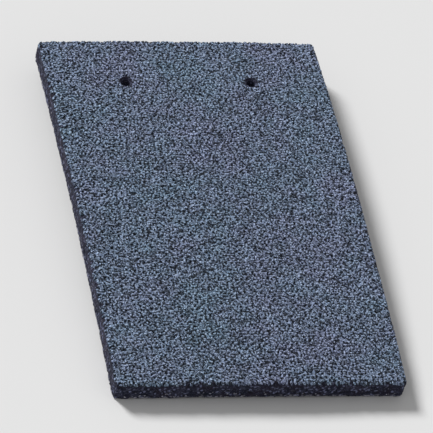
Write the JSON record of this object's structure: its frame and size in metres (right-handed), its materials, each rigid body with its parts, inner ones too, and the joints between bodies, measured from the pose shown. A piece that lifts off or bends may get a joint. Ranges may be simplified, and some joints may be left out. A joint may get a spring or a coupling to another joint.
{
  "type": "concrete plain roof tile",
  "caption": "Flat rectangular roof tile of cast concrete with a gentle double camber, hanging nibs under its head and nail holes through it, for a double-lap slope or wall.",
  "frame": {"origin": "middle of the footprint on the floor that the loose tile lies on, face up", "axes": "+Y from the tail to the head, up the slope of a roof; +Z out of the weathered face; X across the tile"},
  "size_m": [0.165, 0.2646, 0.0237],
  "materials": {
    "granular_concrete": "slate-grey sand-faced concrete, matt, with dark brown-black bare edges"
  },
  "bodies": {
    "root": {"plain_tile": "granular_concrete"}
  },
  "joints": []
}
